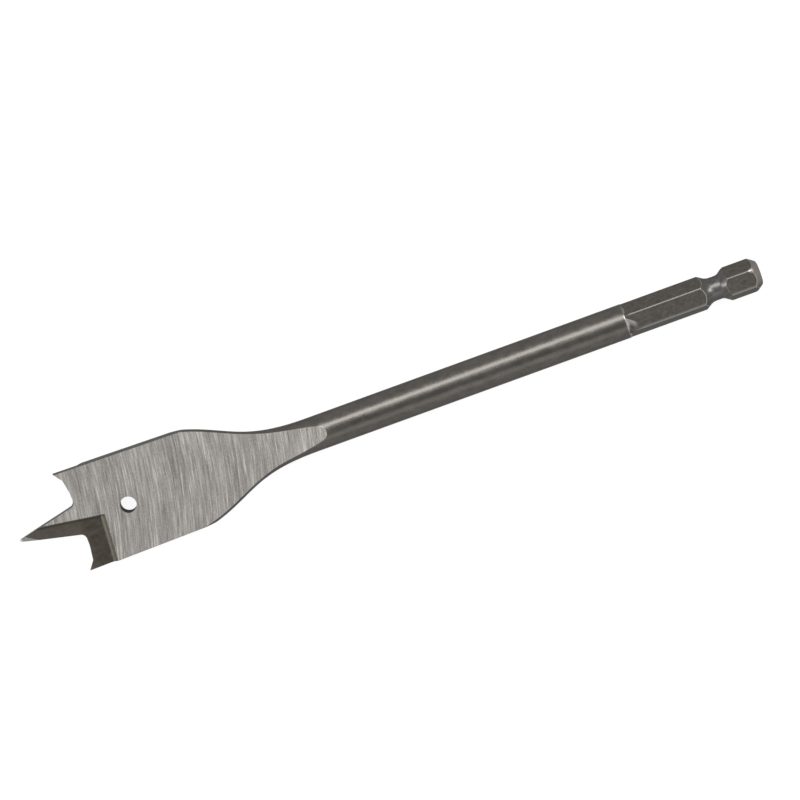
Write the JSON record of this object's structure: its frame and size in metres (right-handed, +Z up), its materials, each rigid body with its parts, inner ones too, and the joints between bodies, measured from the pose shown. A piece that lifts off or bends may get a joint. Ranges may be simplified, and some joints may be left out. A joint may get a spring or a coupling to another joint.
{
  "type": "spade drill bit",
  "caption": "Flat wood-boring bit with a pointed spike, spurred cutting edges, a hanging hole, a round shank and a grooved hex end.",
  "frame": {"origin": "under the middle of the bit's box, on the surface it lies on", "axes": "+X along the bit from the spike's point to the shank end, +Y towards the raised edge of the blade, +Z up"},
  "size_m": [0.16, 0.0214, 0.007],
  "materials": {
    "tool_steel": "blade faces ground bright with cross scratches, forged sides, shank and hex a dark satin grey"
  },
  "bodies": {
    "root": {"spade_bit": "tool_steel"}
  },
  "joints": []
}
